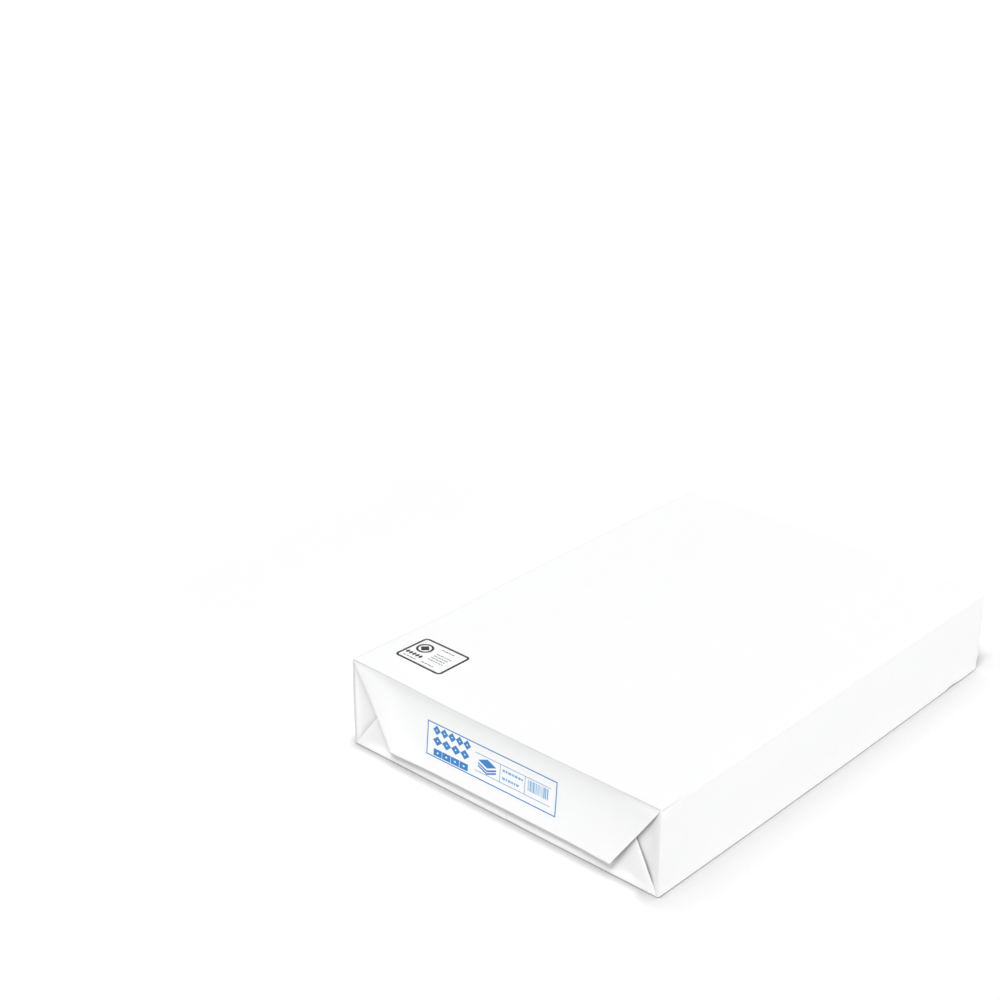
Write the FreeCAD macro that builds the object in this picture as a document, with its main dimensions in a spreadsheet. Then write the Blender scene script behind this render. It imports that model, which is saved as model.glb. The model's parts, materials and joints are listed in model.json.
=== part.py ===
"""A sealed ream of A4 copy paper in its folded white paper wrapper, as one solid.

The stack is not seen, so the pack is one closed body: a sleeve with four long folds, and at each
short end the gift-wrap fold. There the side walls are tucked in first, the bottom flap comes up
over them, and the top flap comes down over both. The two flaps are thin folded sheets that stand
a little off what they cover, so their slanting folded edges and the cut lower edge throw shadows.
A shallow step along the underside is the lap where the wrapper is glued to itself.

Frame: origin at the centre of the underside, +X across the 210 mm side, +Y along the 297 mm side
away from the labelled end, +Z up. Millimetres.
"""

import FreeCAD, Part
import Sketcher
import os

# Driving dimensions, in millimetres: alias, value, what it is.
SIZES = [
    ("sheet_width", 210.0, "A4 sheet, short side"),
    ("sheet_length", 297.0, "A4 sheet, long side"),
    ("stack_height", 50.0, "five hundred sheets, 0.1 mm each"),
    ("paper_thickness", 0.15, "one layer of wrapping paper"),
    ("side_slack", 0.35, "room between the stack and each side wall"),
    ("end_slack", 1.65, "how far the end folds stand out past the tucked walls"),
    ("long_fold_radius", 1.2, "outside of the four long folds"),
    ("end_fold_radius", 1.0, "outside of the folds round each end"),
    ("rim_land", 0.3, "flat left on the rim inside the end folds"),
    ("tuck_run", 9.0, "distance over which a tucked side wall settles on the stack"),
    ("lip_run", 2.5, "the same distance behind the top and bottom folds"),
    ("flap_root_inset", 0.06, "how far a flap's face lies behind the rim where it starts"),
    ("top_flap_left_inset", 27.0, "slant of the top flap's left edge, to its lower corner"),
    ("top_flap_right_inset", 27.6, "slant of the top flap's right edge, to its lower corner"),
    ("top_flap_left_gap", 5.2, "height of the top flap's left corner over the underside"),
    ("top_flap_right_gap", 7.9, "height of the top flap's right corner over the underside"),
    ("top_flap_dip_depth", 7.5, "depth below the top at which the top flap is pulled in most"),
    ("top_flap_dip", 0.8, "how far it is pulled in there"),
    ("top_flap_middle_depth", 24.0, "depth below the top of the flap's middle section"),
    ("top_flap_middle_lift", 0.3, "how far the flap stands out there"),
    ("top_flap_edge_lift", 1.7, "how far the flap's lower edge stands out"),
    ("bottom_flap_height", 34.0, "top edge of the bottom flap, over the underside"),
    ("bottom_flap_left_inset", 25.2, "slant of the bottom flap's left edge, to its top corner"),
    ("bottom_flap_right_inset", 16.0, "slant of the bottom flap's right edge, to its top corner"),
    ("bottom_flap_middle_height", 15.0, "height of the bottom flap's middle section"),
    ("bottom_flap_middle_drop", 0.6, "how far it lies behind the rim there"),
    ("bottom_flap_edge_drop", 0.95, "how far its top edge lies behind the rim"),
    ("seam_offset", 6.0, "place of the lap's free edge, right of the middle"),
    ("seam_run", 18.0, "width over which the covered layer comes down to the surface"),
]

PACK_LABEL = "wrapped_ream"

# Expressions that several features share, in terms of the sheet's cells.
PACK_WIDTH = "(sizes.sheet_width + 2 * (sizes.paper_thickness + sizes.side_slack))"
PACK_HEIGHT = "(sizes.stack_height + 2 * sizes.paper_thickness)"
END_PLANE = "(sizes.sheet_length / 2 + sizes.paper_thickness)"
RIM_PLANE = f"({END_PLANE} + sizes.end_slack)"
RIM_WIDTH = "(sizes.end_fold_radius + sizes.rim_land)"
SHEET_FOLD = "(2 * sizes.paper_thickness)"
FOLD_CORNER = "(0.6 * sizes.paper_thickness)"
ROOT_HALF_WIDTH = f"({PACK_WIDTH} / 2 - sizes.long_fold_radius)"
ROOT_HEIGHT = f"({PACK_HEIGHT} - sizes.end_fold_radius)"

# Numbers by which a sketch knows the ends of a line and its own origin.
LINE_START, LINE_END = 1, 2
ORIGIN_AXIS = -1

# The four broken corners of a folded section: its line, and its ends in rising order of x and y.
BROKEN_CORNERS = [
    ("outer_right", (1, LINE_START, 1, LINE_END), (1, LINE_START, 1, LINE_END)),
    ("inner_right", (3, LINE_END, 3, LINE_START), (3, LINE_START, 3, LINE_END)),
    ("inner_left", (5, LINE_END, 5, LINE_START), (5, LINE_END, 5, LINE_START)),
    ("outer_left", (7, LINE_START, 7, LINE_END), (7, LINE_END, 7, LINE_START)),
]


def make_sizes(doc):
    """The spreadsheet that drives the model, one named cell for each size."""
    sheet = doc.addObject("Spreadsheet::Sheet", "sizes")
    for row, (alias, value, meaning) in enumerate(SIZES, start=1):
        sheet.set(f"A{row}", alias)
        sheet.set(f"B{row}", str(value))
        sheet.set(f"C{row}", meaning)
        sheet.setAlias(f"B{row}", alias)
    doc.recompute()
    return sheet


def value_of(doc, expression):
    """The present value of an expression, to place a sketch's geometry near its answer."""
    return float(doc.sizes.evalExpression(expression))


def origin_feature(body, role):
    """One of the body's own origin planes or axes."""
    for feature in body.Origin.OriginFeatures:
        if feature.Role == role:
            return feature
    raise ValueError(f"the body has no origin feature {role}")


def add_sketch(body, name, plane, offset, tilt=None):
    """A sketch on one of the body's origin planes, moved along that plane's normal."""
    sketch = body.newObject("Sketcher::SketchObject", name)
    sketch.AttachmentSupport = [(origin_feature(body, plane), "")]
    sketch.MapMode = "FlatFace"
    sketch.setExpression("AttachmentOffset.Base.z", offset)
    if tilt is not None:
        sketch.AttachmentOffset = FreeCAD.Placement(
            FreeCAD.Vector(), FreeCAD.Rotation(FreeCAD.Vector(0, -1, 0), 1.0)
        )
        sketch.setExpression("AttachmentOffset.Rotation.Angle", tilt)
    return sketch


def bind(sketch, kind, elements, expression, label):
    """A dimension of the sketch, bound to an expression."""
    start = value_of(sketch.Document, expression)
    index = sketch.addConstraint(Sketcher.Constraint(kind, *elements, start))
    sketch.renameConstraint(index, label)
    sketch.setExpression(f"Constraints.{label}", expression)


def draw_closed_outline(sketch, corners):
    """Straight lines from corner to corner and back to the first, joined at their ends."""
    points = [FreeCAD.Vector(x, y, 0) for x, y in corners]
    count = len(points)
    for i, point in enumerate(points):
        sketch.addGeometry(Part.LineSegment(point, points[(i + 1) % count]), False)
    for i in range(count):
        following = (i + 1) % count
        sketch.addConstraint(
            Sketcher.Constraint("Coincident", i, LINE_END, following, LINE_START)
        )


def draw_rectangle(sketch, half_width, low, high):
    """A rectangle about the sketch's vertical axis, from one height to another."""
    doc = sketch.Document
    right = value_of(doc, half_width)
    bottom = value_of(doc, low)
    top = value_of(doc, high)
    draw_closed_outline(sketch, [(-right, bottom), (right, bottom), (right, top), (-right, top)])
    for line in (0, 2):
        sketch.addConstraint(Sketcher.Constraint("Horizontal", line))
    for line in (1, 3):
        sketch.addConstraint(Sketcher.Constraint("Vertical", line))
    origin = (ORIGIN_AXIS, LINE_START)
    bind(sketch, "DistanceX", (*origin, 1, LINE_START), half_width, "right")
    bind(sketch, "DistanceX", (0, LINE_START, *origin), half_width, "left")
    bind(sketch, "DistanceY", (*origin, 2, LINE_START), high, "high")
    if low == "0":
        sketch.addConstraint(Sketcher.Constraint("PointOnObject", 0, LINE_START, ORIGIN_AXIS))
    else:
        bind(sketch, "DistanceY", (*origin, 0, LINE_START), low, "low")


def draw_folded_section(sketch, left, right, outer):
    """One cut through a flap: a sheet folded back on itself, with the corners of its folds broken.

    left and right are the distances of the folded edges from the middle, and outer is the
    distance of the outer face in front of the sketch's horizontal axis.
    """
    doc = sketch.Document
    thick = value_of(doc, SHEET_FOLD)
    broken = value_of(doc, FOLD_CORNER)
    x_left = -value_of(doc, left)
    x_right = value_of(doc, right)
    y_outer = -value_of(doc, outer)
    y_inner = y_outer + thick
    corners = [
        (x_left + broken, y_outer),
        (x_right - broken, y_outer),
        (x_right, y_outer + broken),
        (x_right, y_inner - broken),
        (x_right - broken, y_inner),
        (x_left + broken, y_inner),
        (x_left, y_inner - broken),
        (x_left, y_outer + broken),
    ]
    draw_closed_outline(sketch, corners)
    outer_face, right_fold, inner_face, left_fold = 0, 2, 4, 6
    for face in (outer_face, inner_face):
        sketch.addConstraint(Sketcher.Constraint("Horizontal", face))
    for fold in (right_fold, left_fold):
        sketch.addConstraint(Sketcher.Constraint("Vertical", fold))
    origin = (ORIGIN_AXIS, LINE_START)
    bind(sketch, "DistanceX", (left_fold, LINE_START, *origin), left, "left")
    bind(sketch, "DistanceX", (*origin, right_fold, LINE_START), right, "right")
    bind(sketch, "DistanceY", (outer_face, LINE_START, *origin), outer, "outer")
    bind(
        sketch,
        "DistanceY",
        (outer_face, LINE_START, inner_face, LINE_START),
        SHEET_FOLD,
        "thick",
    )
    for name, across, along_fold in BROKEN_CORNERS:
        bind(sketch, "DistanceX", across, FOLD_CORNER, f"{name}_across")
        bind(sketch, "DistanceY", along_fold, FOLD_CORNER, f"{name}_through")


def add_sleeve(body):
    """The wrapped block from rim to rim, with its four long folds and the folds round each end."""
    section = add_sketch(body, "sleeve_section", "XZ_Plane", "0")
    draw_rectangle(section, f"{PACK_WIDTH} / 2", "0", PACK_HEIGHT)
    sleeve = body.newObject("PartDesign::Pad", "sleeve")
    sleeve.Profile = section
    sleeve.SideType = "Symmetric"
    sleeve.setExpression("Length", f"2 * {RIM_PLANE}")
    body.Document.recompute()

    long_edges = edge_names(sleeve.Shape, lambda edge: along(edge, "y"))
    long_folds = body.newObject("PartDesign::Fillet", "long_folds")
    long_folds.Base = (sleeve, long_edges)
    long_folds.setExpression("Radius", "sizes.long_fold_radius")
    body.Document.recompute()

    rim = value_of(body.Document, RIM_PLANE)
    end_edges = edge_names(long_folds.Shape, lambda edge: lies_on_end(edge, rim))
    end_folds = body.newObject("PartDesign::Fillet", "end_folds")
    end_folds.Base = (long_folds, end_edges)
    end_folds.setExpression("Radius", "sizes.end_fold_radius")
    body.Document.recompute()


def edge_names(shape, wanted):
    """Names of the shape's edges that a test picks out."""
    return [f"Edge{i}" for i, edge in enumerate(shape.Edges, start=1) if wanted(edge)]


def along(edge, axis):
    """True for a straight edge that runs along one axis."""
    ends = edge.Vertexes
    run = ends[-1].Point - ends[0].Point
    return abs(abs(getattr(run, axis)) - run.Length) < Part.Precision.confusion() * 10


def lies_on_end(edge, rim):
    """True for an edge in the plane of either end."""
    tolerance = Part.Precision.confusion() * 10
    box = edge.BoundBox
    return box.YLength < tolerance and abs(abs(box.YMin) - rim) < tolerance


def add_tucks(body):
    """The dished end: both side walls tucked in against the stack, behind the rim of folds."""
    mouth = add_sketch(body, "tuck_mouth", "XZ_Plane", RIM_PLANE)
    draw_rectangle(
        mouth,
        f"{PACK_WIDTH} / 2 - {RIM_WIDTH}",
        RIM_WIDTH,
        f"{PACK_HEIGHT} - {RIM_WIDTH}",
    )
    floor = add_sketch(body, "tuck_floor", "XZ_Plane", END_PLANE)
    lip = f"({RIM_WIDTH} + sizes.lip_run)"
    draw_rectangle(
        floor,
        f"{PACK_WIDTH} / 2 - {RIM_WIDTH} - sizes.tuck_run",
        lip,
        f"{PACK_HEIGHT} - {lip}",
    )
    tucks = body.newObject("PartDesign::SubtractiveLoft", "side_tucks")
    tucks.Profile = mouth
    tucks.Sections = [floor]
    tucks.Ruled = True
    body.Document.recompute()
    return tucks


def add_flap(body, name, sections):
    """A thin folded flap, lofted through its sections from the root fold to the free edge."""
    root, *others = sections
    flap = body.newObject("PartDesign::AdditiveLoft", name)
    flap.Profile = root
    flap.Sections = others
    flap.Ruled = False
    body.Document.recompute()
    return flap


def slanted(inset, share):
    """Half width of a flap at a share of the way from its root to its free corners."""
    return f"({ROOT_HALF_WIDTH} - {inset} * {share})"


def add_bottom_flap(body):
    """The bottom flap, folded up over the tucks. Its top edge is hidden by the top flap."""
    root_height = "sizes.end_fold_radius"
    span = f"(sizes.bottom_flap_height - {root_height})"
    middle_share = f"((sizes.bottom_flap_middle_height - {root_height}) / {span})"
    cuts = [
        ("root", root_height, "0", "(0 - sizes.flap_root_inset)"),
        (
            "middle",
            "sizes.bottom_flap_middle_height",
            middle_share,
            "(0 - sizes.bottom_flap_middle_drop)",
        ),
        ("edge", "sizes.bottom_flap_height", "1", "(0 - sizes.bottom_flap_edge_drop)"),
    ]
    sections = []
    for label, height, share, lift in cuts:
        section = add_sketch(body, f"bottom_flap_{label}", "XY_Plane", height)
        draw_folded_section(
            section,
            slanted("sizes.bottom_flap_left_inset", share),
            slanted("sizes.bottom_flap_right_inset", share),
            f"{RIM_PLANE} + {lift}",
        )
        sections.append(section)
    return add_flap(body, "bottom_flap", sections)


def add_top_flap(body):
    """The top flap, folded down over the tucks and the bottom flap, its lower edge skewed."""
    left_corner = slanted("sizes.top_flap_left_inset", "1")
    right_corner = slanted("sizes.top_flap_right_inset", "1")
    skew = f"((sizes.top_flap_right_gap - sizes.top_flap_left_gap) / ({left_corner} + {right_corner}))"
    edge_height = f"(sizes.top_flap_left_gap + {skew} * {left_corner})"
    span = f"({ROOT_HEIGHT} - {edge_height})"

    def share_at(depth):
        return f"(({depth} - sizes.end_fold_radius) / {span})"

    cuts = [
        ("root", ROOT_HEIGHT, "0", "(0 - sizes.flap_root_inset)"),
        (
            "dip",
            f"{PACK_HEIGHT} - sizes.top_flap_dip_depth",
            share_at("sizes.top_flap_dip_depth"),
            "(0 - sizes.top_flap_dip)",
        ),
        (
            "middle",
            f"{PACK_HEIGHT} - sizes.top_flap_middle_depth",
            share_at("sizes.top_flap_middle_depth"),
            "sizes.top_flap_middle_lift",
        ),
        ("edge", edge_height, "1", "sizes.top_flap_edge_lift"),
    ]
    sections = []
    for label, height, share, lift in cuts:
        tilt = f"atan({skew})" if label == "edge" else None
        section = add_sketch(body, f"top_flap_{label}", "XY_Plane", height, tilt)
        draw_folded_section(
            section,
            slanted("sizes.top_flap_left_inset", share),
            slanted("sizes.top_flap_right_inset", share),
            f"{RIM_PLANE} + {lift}",
        )
        sections.append(section)
    return add_flap(body, "top_flap", sections)


def repeat_at_far_end(body, features):
    """The same folds at the other end, turned half a turn about the upright axis."""
    both_ends = body.newObject("PartDesign::PolarPattern", "both_ends")
    both_ends.Originals = features
    both_ends.Axis = (origin_feature(body, "Z_Axis"), [""])
    both_ends.Angle = 360
    both_ends.Occurrences = 2
    body.Tip = both_ends
    body.Document.recompute()


def add_lap_seam(body):
    """The lap along the underside: a step at its free edge, one layer deep, that runs out flat."""
    before = body.Shape.Volume
    sketch = add_sketch(body, "lap_section", "XZ_Plane", "0")
    doc = body.Document
    edge = value_of(doc, "sizes.seam_offset")
    end = edge + value_of(doc, "sizes.seam_run")
    depth = value_of(doc, "sizes.paper_thickness")
    draw_closed_outline(sketch, [(edge, 0), (edge, depth), (end, 0)])
    sketch.addConstraint(Sketcher.Constraint("Vertical", 0))
    sketch.addConstraint(Sketcher.Constraint("PointOnObject", 0, LINE_START, ORIGIN_AXIS))
    sketch.addConstraint(Sketcher.Constraint("PointOnObject", 2, LINE_START, ORIGIN_AXIS))
    origin = (ORIGIN_AXIS, LINE_START)
    bind(sketch, "DistanceX", (*origin, 0, LINE_START), "sizes.seam_offset", "edge")
    bind(sketch, "DistanceY", (0, LINE_START, 0, LINE_END), "sizes.paper_thickness", "step")
    bind(sketch, "DistanceX", (0, LINE_START, 2, LINE_START), "sizes.seam_run", "run")
    lap = body.newObject("PartDesign::Pocket", "lap_seam")
    lap.Profile = sketch
    lap.SideType = "Symmetric"
    lap.setExpression("Length", f"2 * {RIM_PLANE} + 2 * sizes.top_flap_edge_lift")
    doc.recompute()
    if not body.Shape.Volume < before:
        raise RuntimeError("the lap seam cut nothing")


def build_pack(doc):
    """The whole wrapped ream, as one body."""
    body = doc.addObject("PartDesign::Body", "pack")
    body.Label = PACK_LABEL
    doc.recompute()
    add_sleeve(body)
    full = body.Shape.Volume
    tucks = add_tucks(body)
    if not body.Shape.Volume < full:
        raise RuntimeError("the side tucks cut nothing")
    bottom_flap = add_bottom_flap(body)
    top_flap = add_top_flap(body)
    repeat_at_far_end(body, [tucks, bottom_flap, top_flap])
    add_lap_seam(body)
    return body


def check(doc, bodies):
    """Stops the build if an object failed or a sub-part's shape is unsound."""
    for item in doc.Objects:
        if {"Invalid", "Error"} & set(item.State):
            raise RuntimeError(f"{item.Label} failed: {item.State}")
    for body in bodies:
        shape = body.Shape
        if shape.isNull() or not shape.isValid() or len(shape.Solids) != 1:
            raise RuntimeError(f"{body.Label} is not one valid solid")


def main():
    doc = FreeCAD.newDocument("wrapped_ream")
    make_sizes(doc)
    bodies = [build_pack(doc)]
    doc.recompute()
    check(doc, bodies)
    os.makedirs("parts", exist_ok=True)
    for body in bodies:
        body.Shape.exportStep(f"parts/{body.Label}.step")
        box = body.Shape.BoundBox
        print(
            f"{body.Label}: {box.XLength:.2f} x {box.YLength:.2f} x {box.ZLength:.2f} mm, "
            f"{body.Shape.Volume / 1000:.1f} cm3, {len(body.Shape.Faces)} faces"
        )
    return doc


main()
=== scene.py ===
"""The looks of a sealed ream of copy paper: its folded wrapper as one real sheet, and its print.

The wrapper is a single sheet in the mesh as well. A sleeve runs round the stack and laps itself
on the underside. At each end it turns over the end folds and goes on as two side tucks, a bottom
flap and a top flap, whose slanting edges are folded back under. The print is thin ink, laid on
the finished paper. Metres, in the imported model's own frame.
"""

import json
import math
import random

import bmesh
import bpy
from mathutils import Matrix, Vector, noise
from mathutils.bvhtree import BVHTree

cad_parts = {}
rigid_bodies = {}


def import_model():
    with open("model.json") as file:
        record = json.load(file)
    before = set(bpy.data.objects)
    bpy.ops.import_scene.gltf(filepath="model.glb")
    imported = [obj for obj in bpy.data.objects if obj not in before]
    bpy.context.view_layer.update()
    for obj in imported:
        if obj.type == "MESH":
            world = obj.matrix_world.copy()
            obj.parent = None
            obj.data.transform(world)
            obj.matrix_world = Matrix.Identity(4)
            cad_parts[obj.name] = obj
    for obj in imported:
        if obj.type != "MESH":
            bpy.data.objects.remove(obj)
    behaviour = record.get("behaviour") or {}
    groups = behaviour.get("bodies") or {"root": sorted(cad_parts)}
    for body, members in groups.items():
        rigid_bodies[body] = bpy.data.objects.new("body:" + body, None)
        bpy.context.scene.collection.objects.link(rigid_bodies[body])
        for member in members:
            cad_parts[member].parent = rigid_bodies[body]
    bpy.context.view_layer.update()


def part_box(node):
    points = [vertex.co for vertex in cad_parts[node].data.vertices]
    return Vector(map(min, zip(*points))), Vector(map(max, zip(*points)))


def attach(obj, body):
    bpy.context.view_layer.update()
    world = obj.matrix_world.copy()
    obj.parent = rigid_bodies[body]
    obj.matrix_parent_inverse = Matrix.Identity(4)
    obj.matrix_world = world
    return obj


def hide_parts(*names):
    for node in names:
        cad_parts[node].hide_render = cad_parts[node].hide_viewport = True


for leftover in list(bpy.data.objects):
    bpy.data.objects.remove(leftover)

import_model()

MM = 0.001

# The block, taken from the frame, and the wrapper's folds. RIDGE is how far the folds round the
# two ends lie from the middle, and ROOT how far the flaps reach to each side where they start.
_low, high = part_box("wrapped_ream")
HALF_WIDTH = high.x
HEIGHT = high.z
RIDGE = 150.3 * MM
LONG_FOLD = 1.2 * MM
END_FOLD = 0.8 * MM
PAPER = 0.12 * MM
ROOT = HALF_WIDTH - LONG_FOLD

# The lap along the underside: where its free edge lies, how far beside it the covered layer takes
# to come level, how far that layer runs on beneath, how deep it lies, and the worn edge's width.
LAP_EDGE = 6.0 * MM
LAP_RUN = 18.0 * MM
LAP_UNDER = 14.0 * MM
LAP_DEPTH = 0.15 * MM
LAP_RIM = 0.5 * MM

# The side tucks: how deep they dive and how soon, how far they reach in, and how much narrower
# they are there at their top and bottom. Their rows lie closer together near the rim.
TUCK_DEPTH = 1.65 * MM
TUCK_RUN = 9.0 * MM
TUCK_LENGTH = 34.0 * MM
TUCK_NARROWED = 1.4 * MM
TUCK_ROW_POWER = 1.6
TUCK_DIVE_POWER = 0.8

# The flaps: how far their slanting edges come in, where they end, and how soon past the rim their
# forms set in.
TOP_LEFT_INSET = 29.5 * MM
TOP_RIGHT_INSET = 27.6 * MM
TOP_LEFT_GAP = 8.4 * MM
TOP_RIGHT_GAP = 8.3 * MM
BOTTOM_LEFT_INSET = 25.2 * MM
BOTTOM_RIGHT_INSET = 17.8 * MM
BOTTOM_REACH = 34.0 * MM
ROOT_SETTLE = 6.0 * MM

# The top flap: it dips in under its fold, most away from its slanting edges, and stands out at
# these and at its free edge.
TOP_DIP = 0.5 * MM
TOP_DIP_INNER = 0.3 * MM
TOP_DIP_AT = 11.0 * MM
TOP_LIFT = 2.7 * MM
TOP_LIFT_RUN = 46.0 * MM
TOP_PROUD = 0.8 * MM
TOP_PROUD_FADE = 30.0 * MM

# The bottom flap: it dips in away from its edges, and drops back behind the top flap.
BOTTOM_DIP = 0.9 * MM
BOTTOM_DIP_FADE = 18.0 * MM
BOTTOM_DIP_START = 5.0 * MM
BOTTOM_DROP = 0.6 * MM
BOTTOM_DROP_FROM = 8.0 * MM
BOTTOM_DROP_RUN = 24.0 * MM

# The hems turned back under the slanting edges. They grow from nothing near the rim, and are never
# wider than a share of the flap's run. HEM_BACK places the points on their flat part.
HEM_FOLD = 0.28 * MM
HEM_WIDTH = 8.0 * MM
HEM_GROWTH = 5.0 * MM
HEM_SHARE = 0.6
HEM_BACK = (0.4, 1.0)

# Scuffing of the folds and the lap's edge, with painted shade along them, in one dark mark: its name
# in the mesh, and how dark each fold is marked. RIM_WEAR_AND_SHADE is the share left at the rim,
# where an end fold ends, and TUCK_WEAR_AND_SHADE goes on into the first rows of the tucks. The long
# folds are marked darker at the labelled end, and that fades along them.
WEAR_AND_SHADE = "wear_and_shade"
RIM_WEAR_AND_SHADE = 0.12
LAP_WEAR_AND_SHADE = 0.5
LONG_FOLD_WEAR_AND_SHADE = {"left": 1.0, "right": 0.3}
HEM_WEAR_AND_SHADE = 0.7
END_FOLD_WEAR_AND_SHADE = {"top": 1.0, "left": 1.0, "right": 0.5, "under_left": 0.7, "under_right": 0.7}
TUCK_WEAR_AND_SHADE = {"left": (0.9, 0.25), "right": ()}
WEAR_AND_SHADE_GAIN = 2
WEAR_AND_SHADE_FADE = 14.0 * MM

# How far the full stack swells at mid length, upwards and at each side.
SWELL_UP = 1.3 * MM
SWELL_OUT = 0.7 * MM

# How far the near left upper corner of the wrapper peaks, and how far from it that fades.
CORNER_PEAK = 2.4 * MM
PEAK_ACROSS = 58.0 * MM
PEAK_ALONG = 40.0 * MM

# The soft forms of the sleeve: the top face's crown towards the far end, the belly of the side
# walls, and how far up from the base the walls' forms set in.
CROWN = 0.7 * MM
BELLY = 0.2 * MM
BASE_SETTLE = 4.0 * MM

# A sharp crease on the right upper fold: its depth, how far it runs from the near end, its width,
# and how far in and down from the fold's outer faces its middle lies.
PINCH = 0.35 * MM
PINCH_RUN = 11.0 * MM
PINCH_WIDTH = 0.5 * MM
PINCH_INSET = 0.4 * MM
PINCH_DROP = 0.6 * MM

# A small lift of the right lower fold: its size, its place along the pack, its length and width.
PUCKER = 0.6 * MM
PUCKER_AT = 123.0 * MM
PUCKER_LENGTH = 5.0 * MM
PUCKER_WIDTH = 1.6 * MM

# Slanting ripples in the side walls: their height, spacing and slant, how they fade away from the
# ends and near the top, and how much STRAIN_WAVE shifts them.
STRAIN = 0.09 * MM
STRAIN_SPACING = 5.5 * MM
STRAIN_SLANT = 0.8
STRAIN_FADE = 16.0 * MM
STRAIN_CLEAR = 3.0 * MM
STRAIN_DRIFT = 2

# Waves in the paper: how high, how long, and the seed that sets each apart from the others. The
# height of STRAIN_WAVE is a plain number. SEED_STEPS turns a seed into a place in the noise.
BROAD_WAVE = (0.16 * MM, 55 * MM, 1)
FINE_WAVE = (0.05 * MM, 14 * MM, 2)
STRAIN_WAVE = (1.0, 30 * MM, 4)
TUCK_WAVE = (0.08 * MM, 13 * MM, 7)
TOP_FLAP_WAVE = (0.14 * MM, 38 * MM, 11)
BOTTOM_FLAP_WAVE = (0.05 * MM, 25 * MM, 13)
TUCK_WAVE_START = 4.0 * MM
SEED_STEPS = (1, 1.7, 0.3)

# Mesh spacing, and how near points of the same place lie when they are merged.
STEP = 3.2 * MM
FINE_STEP = 1.0 * MM
FINE_RUN = 16.0 * MM
FOLD_STEPS = 6
CORNER_STEPS = 8
FLAP_ROWS = 26
TUCK_ROWS = 16
HEM_STEPS = 6
MERGED = 0.001 * MM

# Edges that bend more than this show as sharp.
WRAPPER_SHARP = math.radians(40)
INK_SHARP = math.radians(30)


def smooth(value):
    """0 below 0, 1 above 1, and a smooth turn between."""
    t = min(max(value, 0.0), 1.0)
    return t * t * (3 - 2 * t)


def ripple(wave, x, y, z):
    """One kind of wave at a point: smooth noise, the same on every run."""
    height, wavelength, seed = wave
    shift = Vector([seed * step for step in SEED_STEPS])
    return height * noise.noise(Vector((x, y, z)) / wavelength + shift)


def fading(distance, reach):
    """1 at no distance, and a soft bell-shaped fade beyond."""
    return math.exp(-((distance / reach) ** 2))


def spaced(start, end, step):
    """Evenly spaced values from start to end, no further apart than step."""
    count = max(1, math.ceil(abs(end - start) / step))
    return [start + (end - start) * i / count for i in range(count + 1)]


# The sleeve.


class Column:
    """One line along the sleeve: its place in the cross-section, its normal, depth, and scuffing
    with painted shade.
    """

    def __init__(self, x, z, angle, run, sunk=0.0, wear_and_shade=0.0):
        self.x = x
        self.z = z
        self.nx = math.cos(angle)
        self.nz = math.sin(angle)
        self.run = run
        self.sunk = sunk
        self.wear_and_shade = wear_and_shade


def lap_depth(x):
    """How deep the covered layer lies beside the lap's free edge."""
    return LAP_DEPTH * (1 - smooth((x - LAP_EDGE) / LAP_RUN))


def corner(centre_x, centre_z, start, run):
    """A quarter turn of the section, clockwise seen from the front, without its two ends."""
    columns = []
    for i in range(1, CORNER_STEPS):
        angle = start - math.pi / 2 * i / CORNER_STEPS
        x = centre_x + LONG_FOLD * math.cos(angle)
        z = centre_z + LONG_FOLD * math.sin(angle)
        wear_and_shade = LONG_FOLD_WEAR_AND_SHADE[run] * math.sin(math.pi * i / CORNER_STEPS)
        columns.append(Column(x, z, angle, run, wear_and_shade=wear_and_shade))
    return columns


def section():
    """The sleeve's cross-section: from the lap's free edge left, up, over and round to its
    hidden edge.
    """
    right, left, up, down = 0.0, math.pi, math.pi / 2, -math.pi / 2
    top = HEIGHT - LONG_FOLD
    columns = [Column(LAP_EDGE, 0.0, down, "under_left", wear_and_shade=LAP_WEAR_AND_SHADE)]
    for x in spaced(LAP_EDGE - LAP_RIM, -ROOT, STEP):
        columns.append(Column(x, 0.0, down, "under_left"))
    columns += corner(-ROOT, LONG_FOLD, down, "left")
    columns += [Column(-HALF_WIDTH, z, left, "left") for z in spaced(LONG_FOLD, top, STEP)]
    columns += corner(-ROOT, top, left, "left")
    columns += [Column(x, HEIGHT, up, "top") for x in spaced(-ROOT, ROOT, STEP)]
    columns += corner(ROOT, top, up, "right")
    columns += [Column(HALF_WIDTH, z, right, "right") for z in spaced(top, LONG_FOLD, STEP)]
    columns += corner(ROOT, LONG_FOLD, right, "right")
    for x in spaced(ROOT, LAP_EDGE - LAP_UNDER, STEP):
        columns.append(Column(x, 0.0, down, "under_right", lap_depth(x)))
    return columns


def stations():
    """Where the sleeve's rows lie along it, closer together near its ends."""
    end = RIDGE - END_FOLD
    near = spaced(-end, -end + FINE_RUN, FINE_STEP)
    middle = spaced(-end + FINE_RUN, end - FINE_RUN, STEP)
    far = spaced(end - FINE_RUN, end, FINE_STEP)
    return near + middle[1:] + far[1:]


def crown(x, y):
    """The top face bulges a little towards the far end."""
    across = 1 - (x / ROOT) ** 2
    return CROWN * max(across, 0.0) * smooth((y + RIDGE) / (2 * RIDGE))


def corner_pinch(x, y, z):
    """A short sharp crease on the right upper fold, where the near end's folding pinched it."""
    along = 1 - smooth((y + RIDGE) / PINCH_RUN)
    off = math.hypot(x - (HALF_WIDTH - PINCH_INSET), z - (HEIGHT - PINCH_DROP))
    return -PINCH * along * fading(off, PINCH_WIDTH)


def edge_pucker(x, y, z):
    """The right lower fold is drawn in and up a little near the far end."""
    off = math.hypot(x - HALF_WIDTH, z)
    return -PUCKER * fading(y - PUCKER_AT, PUCKER_LENGTH) * fading(off, PUCKER_WIDTH)


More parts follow.
